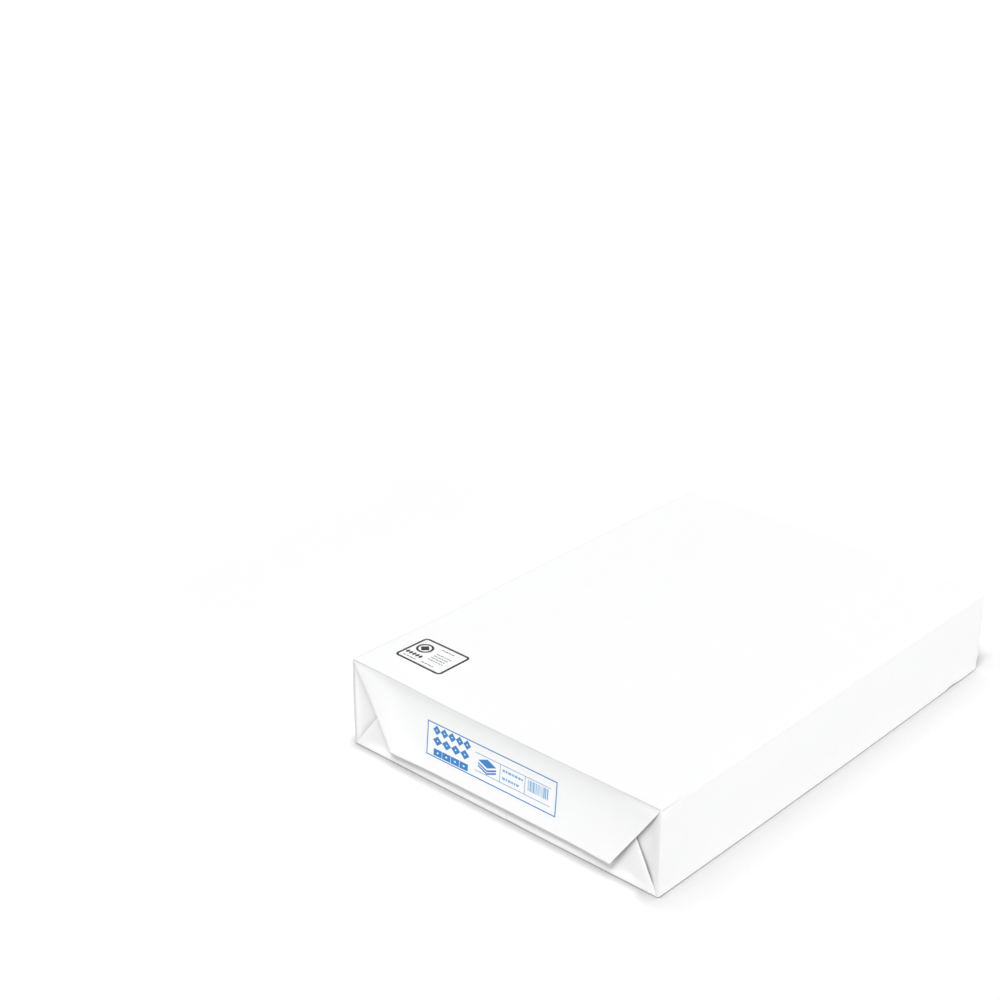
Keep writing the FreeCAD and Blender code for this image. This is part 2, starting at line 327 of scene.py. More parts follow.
def end_strain(x, y, z):
    """Shallow slanting ripples in the side walls, drawn by the tucks."""
    off_end = RIDGE - abs(y)
    slant = (off_end + STRAIN_SLANT * abs(z - HEIGHT / 2)) / STRAIN_SPACING
    fade = math.exp(-off_end / STRAIN_FADE)
    return STRAIN * fade * math.sin(slant + STRAIN_DRIFT * ripple(STRAIN_WAVE, x, y, z))


def bulge(column, y):
    """How far the paper stands out of the plain block at one point of the sleeve."""
    x, z = column.x, column.z
    if column.run.startswith("under"):
        return 0.0
    off_base = smooth(z / BASE_SETTLE)
    waves = ripple(BROAD_WAVE, x, y, z) + ripple(FINE_WAVE, x, y, z)
    out = off_base * waves + edge_pucker(x, y, z)
    if column.run == "top":
        out += crown(x, y)
    else:
        out += BELLY * off_base * (1 - smooth(abs(z / HEIGHT - 0.5) * 2))
        out += off_base * end_strain(x, y, z) * smooth((HEIGHT - z) / STRAIN_CLEAR)
        out += corner_pinch(x, y, z)
    return out


def sleeve_point(column, y, turn=0.0):
    """A point of the sleeve. turn, up to a right angle, carries it over the end fold."""
    out = bulge(column, y)
    radius = END_FOLD - column.sunk
    inward = column.sunk + radius * (1 - math.cos(turn)) - out
    along = y + math.copysign(radius * math.sin(turn), y)
    x = column.x - column.nx * inward
    z = column.z - column.nz * inward
    swell = max(1 - (y / (RIDGE - END_FOLD)) ** 2, 0.0)
    peak = fading(x + ROOT, PEAK_ACROSS) * fading(y + RIDGE, PEAK_ALONG)
    x += SWELL_OUT * swell * x / HALF_WIDTH
    z += (SWELL_UP * swell + CORNER_PEAK * peak) * z / HEIGHT
    return Vector((x, along, z))


def add_grid(mesh, rows, worn_and_shaded=None):
    """Quads between rows of points, all rows as long as each other. worn_and_shaded is each point's
    scuffing and painted shade.
    """
    made = [[mesh.verts.new(point) for point in row] for row in rows]
    if worn_and_shaded is not None:
        wear_and_shade = mesh.verts.layers.float[WEAR_AND_SHADE]
        for row, amounts in zip(made, worn_and_shaded):
            for vert, amount in zip(row, amounts):
                vert[wear_and_shade] = amount
    for near, far in zip(made, made[1:]):
        for i in range(len(near) - 1):
            mesh.faces.new((near[i], near[i + 1], far[i + 1], far[i]))


def end_wear_and_shade(turn):
    """Scuffing and painted shade of the paper round an end fold, most in its middle."""
    if turn == 0.0:
        return 0.0
    return RIM_WEAR_AND_SHADE + (1 - RIM_WEAR_AND_SHADE) * math.sin(2 * turn)


def fold_wear_and_shade(column, y):
    """Scuffing and painted shade along the sleeve's own folds and seam, most on the long folds'
    labelled end.
    """
    if column.run.startswith("under"):
        return column.wear_and_shade
    near = math.exp(-(y + RIDGE) / WEAR_AND_SHADE_FADE)
    return min(column.wear_and_shade * (1 + WEAR_AND_SHADE_GAIN * near), 1.0)


def add_sleeve(mesh, columns):
    """The sleeve with the folds at its two ends."""
    ys = stations()
    turns = [math.pi / 2 * i / FOLD_STEPS for i in range(1, FOLD_STEPS + 1)]
    places = [(ys[0], turn) for turn in reversed(turns)]
    places += [(y, 0.0) for y in ys]
    places += [(ys[-1], turn) for turn in turns]
    rows = [[sleeve_point(column, y, turn) for column in columns] for y, turn in places]
    worn_and_shaded = []
    for y, turn in places:
        worn_and_shaded.append([max(end_wear_and_shade(turn) * END_FOLD_WEAR_AND_SHADE[c.run], fold_wear_and_shade(c, y)) for c in columns])
    add_grid(mesh, rows, worn_and_shaded)


# The ends. Each is worked out as the near one, and the far one is turned half round.


def rim_point(column, end):
    """Where a column leaves the end fold, seen from its own end with right at +X."""
    return seen_from(end, sleeve_point(column, end * (RIDGE - END_FOLD), math.pi / 2))


def seen_from(end, point):
    """Turns a point half round for the far end and leaves it for the near one, both ways."""
    return Vector((-end * point[0], -end * point[1], point[2]))


def end_runs(columns, end):
    """The section's runs as seen from one end, each from its own left to its own right."""
    runs = {}
    for column in columns:
        runs.setdefault(column.run, []).append(column)
    corner_low_left = runs["under_left"][-1]
    corner_low_right = runs["under_right"][0]
    sides = {
        "left": [corner_low_left] + runs["left"] + [runs["top"][0]],
        "right": [corner_low_right] + runs["right"][::-1] + [runs["top"][-1]],
    }
    under = [runs["under_left"][::-1], runs["under_right"][::-1]]
    top = runs["top"]
    if end > 0:
        sides = {"left": sides["right"], "right": sides["left"]}
        under = [run[::-1] for run in under]
        top = top[::-1]
    return sides, under, top


def rim_worn_and_shaded(rows, run):
    """Scuffing and painted shade of a grid that starts at the rim: the rim's own in its first row,
    none beyond.
    """
    rim = RIM_WEAR_AND_SHADE * END_FOLD_WEAR_AND_SHADE[run]
    return [[rim] * len(rows[0])] + [[0.0] * len(row) for row in rows[1:]]


def hem_worn_and_shaded(worn_and_shaded, hems):
    """Adds the scuffing and painted shade of the hems' folds to a flap's own, for the hems that it
    has.
    """
    folds = [0.0] * len(HEM_BACK) + [HEM_WEAR_AND_SHADE] * HEM_STEPS
    for row in worn_and_shaded[1:]:
        if "left" in hems:
            row[: len(folds)] = folds
        if "right" in hems:
            row[-len(folds) :] = folds[::-1]
    return worn_and_shaded


def add_tuck(mesh, side, columns, end):
    """A side wall pushed in: it dives behind the rim and runs on under the flaps."""
    inward = 1 if side == "left" else -1
    rims = [rim_point(column, end) for column in columns]
    rows = []
    for k in range(TUCK_ROWS + 1):
        share = (k / TUCK_ROWS) ** TUCK_ROW_POWER
        row = []
        for i, rim in enumerate(rims):
            rise = i / (len(rims) - 1)
            inner_x = -inward * (HALF_WIDTH - TUCK_LENGTH)
            inner_z = TUCK_NARROWED + rise * (HEIGHT - 2 * TUCK_NARROWED)
            x = rim.x + share * (inner_x - rim.x)
            z = rim.z + share * (inner_z - rim.z)
            travelled = abs(x - rim.x)
            depth = TUCK_DEPTH * smooth((travelled / TUCK_RUN) ** TUCK_DIVE_POWER)
            depth += ripple(TUCK_WAVE, x, z, end) * smooth(travelled / TUCK_WAVE_START)
            row.append(seen_from(end, (x, rim.y + depth, z)))
        rows.append(row)
    worn_and_shaded = rim_worn_and_shaded(rows, side)
    # Painted shade on the left tuck: its first rows beside the rim are darkened.
    for row, amount in zip(worn_and_shaded[1:], TUCK_WEAR_AND_SHADE[side]):
        row[:] = [amount] * len(row)
    add_grid(mesh, rows, worn_and_shaded)


class Flap:
    """An end flap: its slants, how high its corners lie, and how far it stands out."""

    def __init__(self, left_inset, right_inset, left_end, right_end, out):
        self.left_inset = left_inset
        self.right_inset = right_inset
        self.left_end = left_end
        self.right_end = right_end
        self.out = out

    def narrowed(self, x, share):
        """Where a root point lies across the flap, at a share of the way to its free edge."""
        inset = self.left_inset if x < 0 else self.right_inset
        return x * (1 - inset * share / ROOT)

    def height(self, x, share, root_z):
        """Height of a flap point: the free edge runs straight from corner to corner."""
        left = -(ROOT - self.left_inset)
        right = ROOT - self.right_inset
        edge_x = self.narrowed(x, 1.0)
        slope = (self.right_end - self.left_end) / (right - left)
        end_z = self.left_end + slope * (edge_x - left)
        return root_z + share * (end_z - root_z)


def top_out(x, down, off_edge, end):
    """How far the top flap stands out of the rim's plane."""
    settled = smooth(down / ROOT_SETTLE)
    inner = smooth(off_edge / TOP_PROUD_FADE)
    run = down / TOP_DIP_AT
    dip = (TOP_DIP + TOP_DIP_INNER * inner) * run * math.exp(1 - run)
    lift = TOP_LIFT * (down / TOP_LIFT_RUN) ** 2
    proud = TOP_PROUD * settled * (1 - inner)
    return lift + proud - dip + settled * ripple(TOP_FLAP_WAVE, x, down, end)


def bottom_out(x, up, off_edge, end):
    """How far the bottom flap stands out of the rim's plane. It stays behind the top flap."""
    settled = smooth(up / ROOT_SETTLE)
    dip = BOTTOM_DIP * smooth(off_edge / BOTTOM_DIP_FADE) * smooth(up / BOTTOM_DIP_START)
    drop = BOTTOM_DROP * smooth((up - BOTTOM_DROP_FROM) / BOTTOM_DROP_RUN)
    return settled * ripple(BOTTOM_FLAP_WAVE, x, up, end) - dip - drop


TOP_FLAP = Flap(TOP_LEFT_INSET, TOP_RIGHT_INSET, TOP_LEFT_GAP, TOP_RIGHT_GAP, top_out)
BOTTOM_FLAP = Flap(
    BOTTOM_LEFT_INSET, BOTTOM_RIGHT_INSET, BOTTOM_REACH, BOTTOM_REACH, bottom_out
)


def hem(edge, inward, travelled):
    """Points that turn the sheet back under a slanting edge, from the flap's last point on."""
    radius = HEM_FOLD * smooth(travelled / HEM_GROWTH)
    width = min(HEM_WIDTH, HEM_SHARE * travelled)
    points = []
    for i in range(1, HEM_STEPS + 1):
        turn = math.pi * i / HEM_STEPS
        x = edge[0] - inward * radius * math.sin(turn)
        points.append((x, edge[1] + radius * (1 - math.cos(turn)), edge[2]))
    for part in HEM_BACK:
        x = edge[0] + inward * width * part
        points.append((x, edge[1] + 2 * radius, edge[2]))
    return points


def add_flap(mesh, flap, columns, end, hems=("left", "right")):
    """One flap of the end, from the rim to its free edge, with the hems of its slanting edges."""
    rims = [rim_point(column, end) for column in columns]
    rows = []
    for k in range(FLAP_ROWS + 1):
        share = k / FLAP_ROWS
        row = []
        for rim in rims:
            x = flap.narrowed(rim.x, share)
            z = flap.height(rim.x, share, rim.z)
            travelled = abs(z - rim.z)
            left_off = x - flap.narrowed(-ROOT, share)
            right_off = flap.narrowed(ROOT, share) - x
            out = flap.out(x, travelled, min(left_off, right_off), end)
            row.append((x, rim.y - out, z))
        if "left" in hems:
            row = hem(row[0], 1, abs(row[0][2] - rims[0].z))[::-1] + row
        if "right" in hems:
            row = row + hem(row[-1], -1, abs(row[-1][2] - rims[-1].z))
        rows.append([seen_from(end, point) for point in row])
    add_grid(mesh, rows, hem_worn_and_shaded(rim_worn_and_shaded(rows, columns[0].run), hems))


def add_end(mesh, columns, end):
    """One folded end: the two tucks, the bottom flap in its two lapped parts, and the top flap."""
    sides, under, top = end_runs(columns, end)
    for side in ("left", "right"):
        add_tuck(mesh, side, sides[side], end)
    for run in under:
        reaches_left = rim_point(run[0], end).x < -ROOT + STEP / 2
        add_flap(mesh, BOTTOM_FLAP, run, end, ("left",) if reaches_left else ("right",))
    add_flap(mesh, TOP_FLAP, top, end)


def finished_object(name, mesh, thickness, sharp_angle):
    """An object from a single-layer mesh, thickened inwards into closed paper or ink."""
    data = bpy.data.meshes.new(name)
    bmesh.ops.remove_doubles(mesh, verts=mesh.verts, dist=MERGED)
    bmesh.ops.dissolve_degenerate(mesh, edges=mesh.edges, dist=MERGED)
    mesh.to_mesh(data)
    mesh.free()
    piece = bpy.data.objects.new(name, data)
    bpy.context.scene.collection.objects.link(piece)
    thick = piece.modifiers.new("thickness", "SOLIDIFY")
    thick.thickness = thickness
    thick.offset = -1.0
    depsgraph = bpy.context.evaluated_depsgraph_get()
    piece.data = bpy.data.meshes.new_from_object(piece.evaluated_get(depsgraph))
    piece.data.name = name
    piece.modifiers.clear()
    piece.data.shade_smooth()
    piece.data.set_sharp_from_angle(angle=sharp_angle)
    return piece


def make_wrapper():
    """The whole wrapper as one sheet."""
    mesh = bmesh.new()
    mesh.verts.layers.float.new(WEAR_AND_SHADE)
    columns = section()
    add_sleeve(mesh, columns)
    for end in (-1, 1):
        add_end(mesh, columns, end)
    bmesh.ops.remove_doubles(mesh, verts=mesh.verts, dist=MERGED)
    bmesh.ops.recalc_face_normals(mesh, faces=mesh.faces)
    return finished_object("wrapper", mesh, PAPER, WRAPPER_SHARP)


# Materials.

# The sizes of the paper's and the ink's unevenness, in features per metre, and where most values
# of such a noise lie.
CLOUDS = 180.0
COCKLE = 45.0
FIBRES = 2600.0
INK_COVER = 900.0
GRAIN_ROUGHNESS = 0.55
NOISE_SPAN = (0.3, 0.7)

PAPER_TONES = ((0.925, 0.928, 0.932), (0.945, 0.945, 0.943))
# The dark grey that scuffing and painted shade take the paper towards.
WEAR_AND_SHADE_TONE = (0.56, 0.56, 0.565)
PAPER_ROUGHNESS = (0.42, 0.56)
PAPER_SPECULAR = 0.4
COCKLE_HEIGHT = 0.12 * MM
COCKLE_STRENGTH = 0.35
FIBRE_HEIGHT = 0.01 * MM
FIBRE_STRENGTH = 0.4

# The shade painted into the paper's crevices: how far from them it starts, and how strong it is.
CREVICE_REACH = 10.0 * MM
CREVICE_POWER = 2.2
SHADE_SAMPLES = 8

INK_ROUGHNESS = (0.4, 0.52)
INK_SPECULAR = 0.25
INK_FIBRE_HEIGHT = 0.008 * MM


def node(tree, kind, **inputs):
    """A shader node with its input sockets set by name, spaces written as underscores."""
    made = tree.nodes.new(kind)
    for name, value in inputs.items():
        made.inputs[name.replace("_", " ")].default_value = value
    return made


def new_material(name):
    """An empty node material with its Principled shader and object coordinates."""
    material = bpy.data.materials.new(name)
    material.use_nodes = True
    tree = material.node_tree
    shader = tree.nodes["Principled BSDF"]
    place = tree.nodes.new("ShaderNodeTexCoord").outputs["Object"]
    return material, tree, shader, place


def grain(tree, place, scale, detail=3.0):
    """Noise of a given scale, in features per metre."""
    made = node(tree, "ShaderNodeTexNoise", Scale=scale, Detail=detail)
    made.inputs["Roughness"].default_value = GRAIN_ROUGHNESS
    tree.links.new(place, made.inputs["Vector"])
    return made.outputs["Fac"]


def spread_over(tree, value, source, target):
    """A value carried from one range, a low and a high end, to another."""
    made = node(tree, "ShaderNodeMapRange", From_Min=source[0], From_Max=source[1])
    made.inputs["To Min"].default_value = target[0]
    made.inputs["To Max"].default_value = target[1]
    tree.links.new(value, made.inputs["Value"])
    return made.outputs["Result"]


def ranged(tree, value, target):
    """A noise value spread over a range, from its low to its high end."""
    return spread_over(tree, value, NOISE_SPAN, target)


def maths(tree, operation, first, second):
    """The result of a Math node. Each of its sides is a plain number or the output of a node."""
    made = tree.nodes.new("ShaderNodeMath")
    made.operation = operation
    for socket, value in zip(made.inputs, (first, second)):
        if isinstance(value, float):
            socket.default_value = value
        else:
            tree.links.new(value, socket)
    return made.outputs[0]


def mixed_colour(tree, factor, first, second):
    """A colour between two, by a factor. Each is a plain colour or the output of a node."""
    made = tree.nodes.new("ShaderNodeMix")
    made.data_type = "RGBA"
    for name, colour in (("A", first), ("B", second)):
        if isinstance(colour, tuple):
            made.inputs[name].default_value = (*colour, 1.0)
        else:
            tree.links.new(colour, made.inputs[name])
    tree.links.new(factor, made.inputs["Factor"])
    return made.outputs["Result"]


def bump(tree, height, distance, strength, under=None):
    """A bump of a given real height, over another where one is given."""
    made = node(tree, "ShaderNodeBump", Distance=distance, Strength=strength)
    tree.links.new(height, made.inputs["Height"])
    if under is not None:
        tree.links.new(under, made.inputs["Normal"])
    return made.outputs["Normal"]


def paper_material():
    """Smooth white wrapping paper, cloudy, fibrous and satin, darkened by scuffing and painted shade
    along its folds and by painted shade in its crevices.
    """
    material, tree, shader, place = new_material("wrapping_paper")
    clouds = grain(tree, place, CLOUDS)
    fibres = grain(tree, place, FIBRES, detail=4.0)
    cockle = grain(tree, place, COCKLE, detail=2.0)
    tone = mixed_colour(tree, clouds, *PAPER_TONES)
    # The mark along the folds, seams and tuck edges: partly scuffing, partly painted shade.
    wear_and_shade = tree.nodes.new("ShaderNodeAttribute")
    wear_and_shade.attribute_name = WEAR_AND_SHADE
    tone_with_wear_and_shade = mixed_colour(tree, wear_and_shade.outputs["Fac"], tone, WEAR_AND_SHADE_TONE)
    # Painted shade: the paper darkens where other paper is near, in creases, under the flaps' edges
    # and in the tucks.
    crevice = node(tree, "ShaderNodeAmbientOcclusion", Distance=CREVICE_REACH)
    crevice.only_local = True
    crevice.samples = SHADE_SAMPLES
    openness = maths(tree, "POWER", crevice.outputs["AO"], CREVICE_POWER)
    shaded = mixed_colour(tree, openness, WEAR_AND_SHADE_TONE, tone_with_wear_and_shade)
    tree.links.new(shaded, shader.inputs["Base Color"])
    tree.links.new(ranged(tree, fibres, PAPER_ROUGHNESS), shader.inputs["Roughness"])
    shader.inputs["Specular IOR Level"].default_value = PAPER_SPECULAR
    soft = bump(tree, cockle, COCKLE_HEIGHT, COCKLE_STRENGTH)
    fine = bump(tree, fibres, FIBRE_HEIGHT, FIBRE_STRENGTH, soft)
    tree.links.new(fine, shader.inputs["Normal"])
    return material


def ink_material(name, colour, lighter):
    """Flat printing ink: slightly uneven cover, with the paper's fibres under it."""
    material, tree, shader, place = new_material(name)
    cover = grain(tree, place, INK_COVER, detail=4.0)
    tree.links.new(mixed_colour(tree, cover, colour, lighter), shader.inputs["Base Color"])
    tree.links.new(ranged(tree, cover, INK_ROUGHNESS), shader.inputs["Roughness"])
    shader.inputs["Specular IOR Level"].default_value = INK_SPECULAR
    fine = bump(tree, grain(tree, place, FIBRES), INK_FIBRE_HEIGHT, FIBRE_STRENGTH)
    tree.links.new(fine, shader.inputs["Normal"])
    return material


# Print. Shapes are drawn flat, in millimetres of their own label, and then laid on the paper.

INK_STEP = 1.4
INK_RISE = 0.03 * MM
INK_THICK = 0.045 * MM

# The smallest opening that a shape without one is drawn with, as a share of its size.
CLOSED = 0.01

# Steps of a round line, and of each rounded corner.
CIRCLE_STEPS = 28
ARC_STEPS = 6

# Dashes and stripes, in millimetres: how long or wide they are, the gaps between them, and the
# least room that another one needs.
DASH_LENGTHS = (1.0, 2.8)
DASH_GAP = 0.5
DASH_ROOM = 0.6
STRIPE_WIDTHS = (0.25, 0.25, 0.5, 0.75)
STRIPE_GAPS = (0.3, 0.3, 0.55)
STRIPE_ROOM = 0.3

# Where the lower left corners of the two labels lie, and how far off the pack their rays start.
FRONT_LABEL_X = -49.4 * MM
FRONT_LABEL_Z = 17.5 * MM
TOP_LABEL_X = -93.2 * MM
TOP_LABEL_Y = -130.6 * MM
RAY_START = 20.0 * MM
INTO_END = Vector((0.0, 1.0, 0.0))
DOWN = Vector((0.0, 0.0, -1.0))


class Label:
    """A flat drawing of ink shapes, to be laid on the wrapper."""

    def __init__(self):
        self.mesh = bmesh.new()

    def bar(self, x0, x1, y0, y1):
        """A solid bar."""
        rows = [
            [(x, y, 0.0) for x in spaced(x0, x1, INK_STEP)] for y in spaced(y0, y1, INK_STEP)
        ]
        add_grid(self.mesh, rows)

    def ring(self, outer, inner):
        """A closed line between two loops with as many points each."""
        rows = [[(*a, 0.0), (*b, 0.0)] for a, b in zip(outer + outer[:1], inner + inner[:1])]
        add_grid(self.mesh, rows)

    def frame(self, x0, x1, y0, y1, line, radius=0.0):
        """A rectangle drawn as a line, its corners round or square."""
        across = math.ceil((x1 - x0) / INK_STEP)
        upright = math.ceil((y1 - y0) / INK_STEP)
        outer = rounded_loop(x0, x1, y0, y1, radius, across, upright)
        inner_radius = max(radius - line, 0.0)
        inner = rounded_loop(
            x0 + line, x1 - line, y0 + line, y1 - line, inner_radius, across, upright
        )
        self.ring(outer, inner)

    def circle(self, x, y, outer_radius, inner_radius):
        """A round line."""
        turns = [2 * math.pi * i / CIRCLE_STEPS for i in range(CIRCLE_STEPS)]
        outer = [(x + outer_radius * math.cos(t), y + outer_radius * math.sin(t)) for t in turns]
        inner = [(x + inner_radius * math.cos(t), y + inner_radius * math.sin(t)) for t in turns]
        self.ring(outer, inner)

    def diamond(self, x, y, width, height, hollow=CLOSED):
        """An upright diamond. hollow is the size of the opening in it, as a share of its own."""
        ways = [(0.5, 0.0), (0.0, 0.5), (-0.5, 0.0), (0.0, -0.5)]
        outer = [(x + across * width, y + up * height) for across, up in ways]
        inner = [(x + across * width * hollow, y + up * height * hollow) for across, up in ways]
        self.ring(outer, inner)

    def diamonds(self, x0, x1, y0, y1, count, hollow=CLOSED):
        """A row of diamonds side by side, where the real label has large words."""
        width = (x1 - x0) / count
        for i in range(count):
            self.diamond(x0 + (i + 0.5) * width, (y0 + y1) / 2, width, y1 - y0, hollow)

    def tile(self, x0, x1, y0, y1, hollow):
        """A solid rectangle with a diamond left open in its middle."""
        x, y = (x0 + x1) / 2, (y0 + y1) / 2
        half_width, half_height = (x1 - x0) / 2, (y1 - y0) / 2
        ways = [(1, 0), (1, 1), (0, 1), (-1, 1), (-1, 0), (-1, -1), (0, -1), (1, -1)]
        outer = [(x + across * half_width, y + up * half_height) for across, up in ways]
        inner = []
        for across, up in ways:
            share = hollow / (abs(across) + abs(up))
            inner.append((x + across * half_width * share, y + up * half_height * share))
        self.ring(outer, inner)

    def chevron(self, x, y, width, height, thick):
        """A shallow V-shaped band. y is the height of its upper ends."""
        top = [(x - width / 2, y, 0.0), (x, y - height, 0.0), (x + width / 2, y, 0.0)]
        add_grid(self.mesh, [top, [(px, py - thick, 0.0) for px, py, _ in top]])

    def dashes(self, x0, x1, y, thick, rng):
        """A line of small dashes, where the real label has small words."""
        at = x0
        while at < x1 - DASH_ROOM:
            length = min(rng.uniform(*DASH_LENGTHS), x1 - at)
            self.bar(at, at + length, y - thick / 2, y + thick / 2)
            at += length + DASH_GAP

    def stripes(self, x0, x1, y0, y1, rng):
        """Upright stripes of uneven width that encode nothing."""
        at = x0
        while at < x1 - STRIPE_ROOM:
            width = min(rng.choice(STRIPE_WIDTHS), x1 - at)
            self.bar(at, at + width, y0, y1)
            at += width + rng.choice(STRIPE_GAPS)


def rounded_loop(x0, x1, y0, y1, radius, across, upright):
    """Points round a rectangle with rounded corners, in so many steps across and upright."""
    centres = [
        (x1 - radius, y1 - radius, 0.0),
        (x0 + radius, y1 - radius, math.pi / 2),
        (x0 + radius, y0 + radius, math.pi),
        (x1 - radius, y0 + radius, -math.pi / 2),
    ]
    points = []
    for i, (cx, cy, start) in enumerate(centres):
        turns = [start + math.pi / 2 * k / ARC_STEPS for k in range(ARC_STEPS + 1)]
        points += [(cx + radius * math.cos(t), cy + radius * math.sin(t)) for t in turns]
        nx, ny, following = centres[(i + 1) % 4]
        end = (nx + radius * math.cos(following), ny + radius * math.sin(following))
        begin = points[-1]
        count = across if i % 2 == 0 else upright
        for k in range(1, count):
            share = k / count
            x = begin[0] + share * (end[0] - begin[0])
            points.append((x, begin[1] + share * (end[1] - begin[1])))
    return points


def stack_sign(label, x, y, width, height):
    """A small drawing of stacked sheets: a diamond with two bands under it."""
    sheet = 0.62 * height
    step = (height - sheet) / 2
    band_rise = 0.25 * step
    band = 0.65 * step
    middle = y + height - sheet / 2
    label.diamond(x, middle, width, sheet)
    for layer in (1, 2):
        label.chevron(x, middle - layer * step + band_rise, width, sheet / 2, band)


def lay_on(name, label, ray_start, direction, surface):
    """Lays a flat drawing on the wrapper along a direction, as a thin closed layer of ink."""
    bmesh.ops.subdivide_edges(
        label.mesh,
        edges=[e for e in label.mesh.edges if e.calc_length() > 2 * INK_STEP],
        cuts=2,
        use_grid_fill=True,
    )
    for vert in label.mesh.verts:
        start = ray_start(vert.co.x * MM, vert.co.y * MM)
        hit, _normal, _face, _distance = surface.ray_cast(start, direction)
        vert.co = hit - direction * INK_RISE
    bmesh.ops.recalc_face_normals(label.mesh, faces=label.mesh.faces)
    for face in label.mesh.faces:
        if face.normal.dot(direction) > 0:
            face.normal_flip()
    return finished_object(name, label.mesh, INK_THICK, INK_SHARP)


def front_label():
    """The blue panel on the top flap, drawn from its own lower left corner, 89 mm by 20 mm.
    The first numbers of each shape are its place in the drawing.
    """
    rng = random.Random(7)
    strong = Label()
    strong.frame(0.0, 89.4, 0.0, 20.0, line=0.66)
    strong.diamonds(4.0, 31.0, 13.3, 18.9, count=5, hollow=0.2)
    strong.diamonds(4.2, 30.2, 7.2, 12.8, count=4, hollow=0.2)
    tile_width = 5.9
    tile_spacing = 6.2
    for i in range(4):
        x = 5.1 + i * tile_spacing
        strong.tile(x, x + tile_width, 1.2, 5.2, hollow=0.3)
    stack_sign(strong, 42.6, 5.3, width=12.4, height=8.2)
    rule_left = 34.2
    rule_right = 85.4
    rule_low = 4.45
    rule_high = 14.4
    rule = 0.3
    strong.bar(rule_left, rule_right, rule_high, rule_high + rule)
    strong.bar(rule_left, rule_right, rule_low - rule, rule_low)
    for x in (51.5, 68.3):
        strong.bar(x - rule / 2, x + rule / 2, rule_low, rule_high)
    pale = Label()
    dash_height = 1.25
    pale.dashes(53.1, 66.8, 11.6, dash_height, rng)
    pale.dashes(53.1, 65.4, 7.2, dash_height, rng)
    pale.stripes(70.3, 84.4, 7.3, 13.5, rng)
    return strong, pale


def top_label():
    """The dark panel on the top face, drawn from its own near left corner, 33 mm by 25 mm.
    The first numbers of each shape are its place in the drawing.
    """
    rng = random.Random(11)
    dark = Label()
    dark.frame(0.0, 33.4, 0.0, 25.4, line=1.4, radius=2.6)
    dark.circle(7.8, 16.0, outer_radius=5.0, inner_radius=3.7)
    dark.diamond(7.8, 16.0, width=6.2, height=6.2)
    dark.diamonds(2.0, 13.8, 5.7, 9.3, count=5)
    dark.dashes(3.5, 12.5, 3.7, 0.5, rng)
    dark.dashes(16.0, 24.7, 21.0, 0.6, rng)
    row_spacing = 2.3
    dash_height = 0.55
    for row in range(4):
        dark.dashes(17.0, 27.5, 15.8 - row_spacing * row, dash_height, rng)
    dark.dashes(16.5, 25.1, 4.2, dash_height, rng)
    return dark


def on_front(x, z):
    """Start of a ray towards the near end, for a point of the front label."""
    return Vector((FRONT_LABEL_X + x, -RIDGE - RAY_START, FRONT_LABEL_Z + z))


def on_top(x, y):
    """Start of a ray down to the top face, for a point of the top label."""
    return Vector((TOP_LABEL_X + x, TOP_LABEL_Y + y, HEIGHT + RAY_START))


def surface_of(piece):
    """A tree for casting rays at a finished piece."""
    depsgraph = bpy.context.evaluated_depsgraph_get()
    return BVHTree.FromObject(piece, depsgraph)


# Stage, light and camera.

# The shadow painted on the floor round the pack: before it short and strong, to its right long
# and weak. Each pair is the value before and to the right, and the two spans are where it turns.
FLOOR_SIZE = 12.0
SHADOW_REACH = (9.0 * MM, 50.0 * MM)
SHADOW_POWER = (1.3, 0.7)
TURN_ACROSS = (HALF_WIDTH - 12.0 * MM, HALF_WIDTH)
TURN_ALONG = (-RIDGE - 14.0 * MM, -RIDGE + 6.0 * MM)
WHOLE = (0.0, 1.0)

# The floor's tones, in full painted shadow, where seen, and for the light that it throws back, and
# how much it glows where seen.
FLOOR_SHADOW = (0.02, 0.02, 0.02)
FLOOR_SEEN = (0.93, 0.93, 0.93)
FLOOR_UNSEEN = (0.5, 0.5, 0.5)
FLOOR_GLOW = 0.06

# The world's strength as a light, and where it is seen.
WORLD_LIGHT = 0.2
WORLD_SEEN = 1.0

# The lamps: where each shines from, its strength, and its spread in degrees.
LAMPS = {
    "key": ((0.2, -0.42, 0.9), 2.55, 22.0),
    "right_fill": ((0.99, -0.1, 0.07), 1.88, 20.0),
    "front_fill": ((0.0, -0.99, 0.07), 0.82, 20.0),
    "back_fill": ((-0.1, 0.99, 0.05), 1.4, 20.0),
    "left_fill": ((-0.99, 0.1, 0.05), 1.3, 20.0),
}


def seen_ray(tree):
    """1 for the rays that show a thing: the camera's own, mirrored ones and ones through glass."""
    path = tree.nodes.new("ShaderNodeLightPath")
    seen = path.outputs["Is Camera Ray"]
    for kind in ("Is Glossy Ray", "Is Transmission Ray"):
        seen = maths(tree, "MAXIMUM", seen, path.outputs[kind])
    return seen


def right_of_pack(tree):
    """1 on the floor to the right of the pack and 0 before it, with a soft turn at the corner."""
    coordinates = tree.nodes.new("ShaderNodeTexCoord")
    place = tree.nodes.new("ShaderNodeSeparateXYZ")
    tree.links.new(coordinates.outputs["Object"], place.inputs[0])
    across = spread_over(tree, place.outputs["X"], TURN_ACROSS, WHOLE)
    along = spread_over(tree, place.outputs["Y"], TURN_ALONG, WHOLE)
    return maths(tree, "MULTIPLY", across, along)


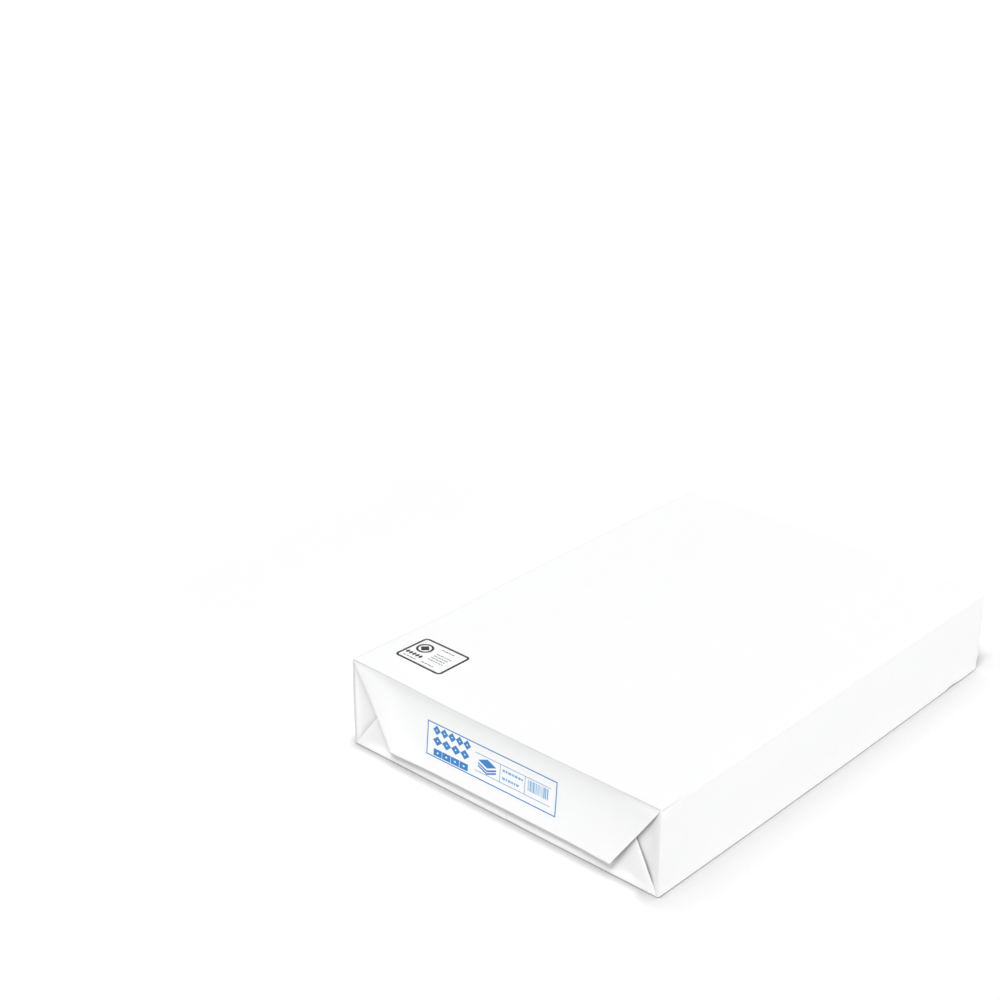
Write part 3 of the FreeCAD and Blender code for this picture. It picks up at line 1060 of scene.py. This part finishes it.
def floor_tone(tree):
    """The floor's colour as it is seen: pale, with a shadow painted where the pack is near."""
    side = right_of_pack(tree)
    # Painted shadow: the floor darkens near the pack, over a short reach before it and a long one to
    # its right.
    openness = tree.nodes.new("ShaderNodeAmbientOcclusion")
    openness.samples = SHADE_SAMPLES
    tree.links.new(spread_over(tree, side, WHOLE, SHADOW_REACH), openness.inputs["Distance"])
    power = spread_over(tree, side, WHOLE, SHADOW_POWER)
    contact = maths(tree, "POWER", openness.outputs["AO"], power)
    return mixed_colour(tree, contact, FLOOR_SHADOW, FLOOR_SEEN)


def floor_material():
    """A floor seen white with the pack's cast and painted shadows, throwing back less light than
    seen.
    """
    material = bpy.data.materials.new("floor")
    material.use_nodes = True
    tree = material.node_tree
    tree.nodes.clear()
    seen = seen_ray(tree)
    diffuse = tree.nodes.new("ShaderNodeBsdfDiffuse")
    tone = mixed_colour(tree, seen, FLOOR_UNSEEN, floor_tone(tree))
    tree.links.new(tone, diffuse.inputs["Color"])
    glow = node(tree, "ShaderNodeEmission", Color=(1.0, 1.0, 1.0, 1.0))
    tree.links.new(maths(tree, "MULTIPLY", seen, FLOOR_GLOW), glow.inputs["Strength"])
    both = tree.nodes.new("ShaderNodeAddShader")
    tree.links.new(diffuse.outputs[0], both.inputs[0])
    tree.links.new(glow.outputs[0], both.inputs[1])
    out = tree.nodes.new("ShaderNodeOutputMaterial")
    tree.links.new(both.outputs[0], out.inputs["Surface"])
    return material


def make_floor():
    """The plain floor, its middle at the origin, so that its own coordinates are the pack's."""
    bpy.ops.mesh.primitive_plane_add(size=FLOOR_SIZE)
    floor = bpy.context.object
    floor.name = "floor"
    floor.data.materials.append(floor_material())


def make_world():
    """Even white light all round, and white where the camera or a reflection sees past the floor."""
    world = bpy.data.worlds.new("studio")
    bpy.context.scene.world = world
    world.use_nodes = True
    tree = world.node_tree
    background = tree.nodes["Background"]
    background.inputs["Color"].default_value = (1.0, 1.0, 1.0, 1.0)
    strength = spread_over(tree, seen_ray(tree), WHOLE, (WORLD_LIGHT, WORLD_SEEN))
    tree.links.new(strength, background.inputs["Strength"])


def make_sun(name, place, strength, spread):
    """A distant soft light that shines from a place towards the origin, its spread in degrees."""
    data = bpy.data.lights.new(name, "SUN")
    data.energy = strength
    data.angle = math.radians(spread)
    sun = bpy.data.objects.new(name, data)
    sun.location = place
    sun.rotation_mode = "QUATERNION"
    sun.rotation_quaternion = (-Vector(place)).to_track_quat("-Z", "Y")
    bpy.context.scene.collection.objects.link(sun)


def make_camera():
    """The photo's own view: its place, angles and lens were fitted to the pack's corners."""
    azimuth = math.radians(42.275)
    elevation = math.radians(24.8)
    focal_px = 1965.3
    image_px = 1000.0
    data = bpy.data.cameras.new("camera")
    data.sensor_width = 36.0
    data.lens = data.sensor_width * focal_px / image_px
    camera = bpy.data.objects.new("camera", data)
    camera.location = (0.57392, -0.77938, 0.57287)
    level = math.cos(elevation)
    forward = Vector(
        (-math.sin(azimuth) * level, math.cos(azimuth) * level, -math.sin(elevation))
    )
    camera.rotation_mode = "QUATERNION"
    camera.rotation_quaternion = forward.to_track_quat("-Z", "Y")
    data.clip_start = 0.01
    data.clip_end = 50.0
    bpy.context.scene.collection.objects.link(camera)
    bpy.context.scene.camera = camera


def dress(piece, material):
    """Gives a piece its material and the body it rides on."""
    piece.data.materials.clear()
    piece.data.materials.append(material)
    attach(piece, "root")


wrapper = make_wrapper()
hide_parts("wrapped_ream")
dress(wrapper, paper_material())
paper_surface = surface_of(wrapper)

blue = ink_material("blue_ink", (0.04, 0.22, 0.53), (0.05, 0.24, 0.58))
pale_blue = ink_material("pale_blue_ink", (0.15, 0.39, 0.67), (0.19, 0.43, 0.72))
black = ink_material("black_ink", (0.012, 0.012, 0.013), (0.022, 0.022, 0.023))

front_strong, front_pale = front_label()
dress(lay_on("front_label_lines", front_strong, on_front, INTO_END, paper_surface), blue)
dress(lay_on("front_label_details", front_pale, on_front, INTO_END, paper_surface), pale_blue)
dress(lay_on("top_label", top_label(), on_top, DOWN, paper_surface), black)

make_floor()
make_world()
for lamp, (shines_from, strength, spread) in LAMPS.items():
    make_sun(lamp, shines_from, strength, spread)
make_camera()
bpy.context.scene.view_settings.view_transform = "Standard"
